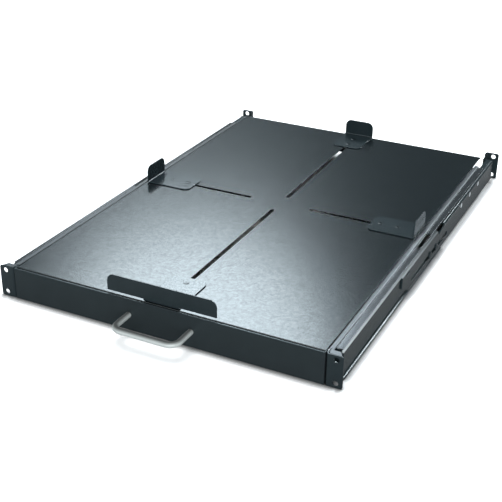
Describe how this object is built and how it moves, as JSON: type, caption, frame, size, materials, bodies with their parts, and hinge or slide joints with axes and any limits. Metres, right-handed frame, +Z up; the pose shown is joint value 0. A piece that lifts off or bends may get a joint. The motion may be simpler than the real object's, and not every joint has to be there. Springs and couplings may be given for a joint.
{
  "type": "sliding rack shelf",
  "caption": "Sliding shelf for a 19-inch rack, one unit high: a slotted steel tray with a bow handle and clamped stops, on ball-bearing slides between depth-adjustable eared brackets.",
  "frame": {"origin": "midway between the four front rack holes, on the front face of the front ears", "axes": "+X to the right seen from the front, +Y from the front posts to the rear posts, +Z up"},
  "size_m": [0.4826, 0.7535, 0.0697],
  "materials": {
    "black_paint": "fine textured black paint, satin",
    "black_gloss_paint": "smooth black paint, satin",
    "zinc_plate": "zinc plated",
    "satin_rod": "satin",
    "bearing_steel": "polished",
    "black_rubber": "matt"
  },
  "bodies": {
    "rack_frame": {"left_front_bracket": "black_gloss_paint", "right_front_bracket": "black_gloss_paint", "left_side_rail": "black_paint", "right_side_rail": "black_paint", "rail_rivets": "zinc_plate", "clamp_bolts": "black_gloss_paint", "clamp_nuts": "black_gloss_paint", "left_slide_outer": "zinc_plate", "right_slide_outer": "zinc_plate", "slide_bumpers": "black_rubber"},
    "left_rear": {"left_rear_bracket": "black_gloss_paint"},
    "right_rear": {"right_rear_bracket": "black_gloss_paint"},
    "left_middle": {"left_slide_middle": "zinc_plate"},
    "right_middle": {"right_slide_middle": "zinc_plate"},
    "left_outer_retainer": {"left_outer_cage": "zinc_plate", "left_outer_balls": "bearing_steel"},
    "right_outer_retainer": {"right_outer_cage": "zinc_plate", "right_outer_balls": "bearing_steel"},
    "left_inner_retainer": {"left_inner_cage": "zinc_plate", "left_inner_balls": "bearing_steel"},
    "right_inner_retainer": {"right_inner_cage": "zinc_plate", "right_inner_balls": "bearing_steel"},
    "tray": {"tray_deck": "black_paint", "left_tray_side": "black_paint", "right_tray_side": "black_paint", "front_panel": "black_gloss_paint", "panel_studs": "zinc_plate", "panel_nuts": "zinc_plate", "handle": "satin_rod", "handle_screws": "zinc_plate", "left_slide_inner": "zinc_plate", "right_slide_inner": "zinc_plate", "slide_rivets": "zinc_plate"},
    "front_stop_unit": {"front_stop": "black_paint", "front_stop_studs": "black_paint", "front_clamp_plate": "zinc_plate", "front_lock_nut": "zinc_plate"},
    "front_knob": {"front_thumb_nut": "black_rubber"},
    "rear_stop_unit": {"rear_stop": "black_paint", "rear_stop_studs": "black_paint", "rear_clamp_plate": "zinc_plate", "rear_lock_nut": "zinc_plate"},
    "rear_knob": {"rear_thumb_nut": "black_rubber"},
    "left_stop_unit": {"left_stop": "black_paint", "left_stop_studs": "black_paint", "left_clamp_plate": "zinc_plate", "left_lock_nut": "zinc_plate"},
    "left_knob": {"left_thumb_nut": "black_rubber"},
    "right_stop_unit": {"right_stop": "black_paint", "right_stop_studs": "black_paint", "right_clamp_plate": "zinc_plate", "right_lock_nut": "zinc_plate"},
    "right_knob": {"right_thumb_nut": "black_rubber"}
  },
  "joints": [
    {"name": "tray_slide", "type": "slide", "parent": "rack_frame", "child": "tray", "axis": [0, -1, 0], "range_m": [0, 0.56]},
    {"name": "left_middle_slide", "type": "slide", "parent": "rack_frame", "child": "left_middle", "axis": [0, -1, 0], "range_m": [0, 0.2801]},
    {"name": "left_outer_retainer_slide", "type": "slide", "parent": "rack_frame", "child": "left_outer_retainer", "axis": [0, -1, 0], "range_m": [0, 0.1401]},
    {"name": "left_inner_retainer_slide", "type": "slide", "parent": "rack_frame", "child": "left_inner_retainer", "axis": [0, -1, 0], "range_m": [0, 0.4201]},
    {"name": "left_rear_adjust", "type": "slide", "parent": "rack_frame", "child": "left_rear", "axis": [0, 1, 0], "range_m": [-0.025, 0.075]},
    {"name": "right_middle_slide", "type": "slide", "parent": "rack_frame", "child": "right_middle", "axis": [0, -1, 0], "range_m": [0, 0.2801]},
    {"name": "right_outer_retainer_slide", "type": "slide", "parent": "rack_frame", "child": "right_outer_retainer", "axis": [0, -1, 0], "range_m": [0, 0.1401]},
    {"name": "right_inner_retainer_slide", "type": "slide", "parent": "rack_frame", "child": "right_inner_retainer", "axis": [0, -1, 0], "range_m": [0, 0.4201]},
    {"name": "right_rear_adjust", "type": "slide", "parent": "rack_frame", "child": "right_rear", "axis": [0, 1, 0], "range_m": [-0.025, 0.075]},
    {"name": "front_stop_slide", "type": "slide", "parent": "tray", "child": "front_stop_unit", "axis": [0, 1, 0], "range_m": [0, 0.25]},
    {"name": "front_knob_turn", "type": "hinge", "parent": "front_stop_unit", "child": "front_knob", "pos_m": [0, 0.0683, 0.0152], "axis": [0, 0, -1], "continuous": true},
    {"name": "rear_stop_slide", "type": "slide", "parent": "tray", "child": "rear_stop_unit", "axis": [0, -1, 0], "range_m": [0, 0.24]},
    {"name": "rear_knob_turn", "type": "hinge", "parent": "rear_stop_unit", "child": "rear_knob", "pos_m": [0, 0.6293, 0.0152], "axis": [0, 0, -1], "continuous": true},
    {"name": "left_stop_slide", "type": "slide", "parent": "tray", "child": "left_stop_unit", "axis": [1, 0, 0], "range_m": [0, 0.105]},
    {"name": "left_knob_turn", "type": "hinge", "parent": "left_stop_unit", "child": "left_knob", "pos_m": [-0.1579, 0.352, 0.0152], "axis": [0, 0, -1], "continuous": true},
    {"name": "right_stop_slide", "type": "slide", "parent": "tray", "child": "right_stop_unit", "axis": [-1, 0, 0], "range_m": [0, 0.105]},
    {"name": "right_knob_turn", "type": "hinge", "parent": "right_stop_unit", "child": "right_knob", "pos_m": [0.1579, 0.352, 0.0152], "axis": [0, 0, -1], "continuous": true}
  ],
  "couplings": [
    {"joint": "left_middle_slide", "follows": "tray_slide", "ratio": 0.5},
    {"joint": "left_outer_retainer_slide", "follows": "tray_slide", "ratio": 0.25},
    {"joint": "left_inner_retainer_slide", "follows": "tray_slide", "ratio": 0.75},
    {"joint": "right_middle_slide", "follows": "tray_slide", "ratio": 0.5},
    {"joint": "right_outer_retainer_slide", "follows": "tray_slide", "ratio": 0.25},
    {"joint": "right_inner_retainer_slide", "follows": "tray_slide", "ratio": 0.75}
  ]
}
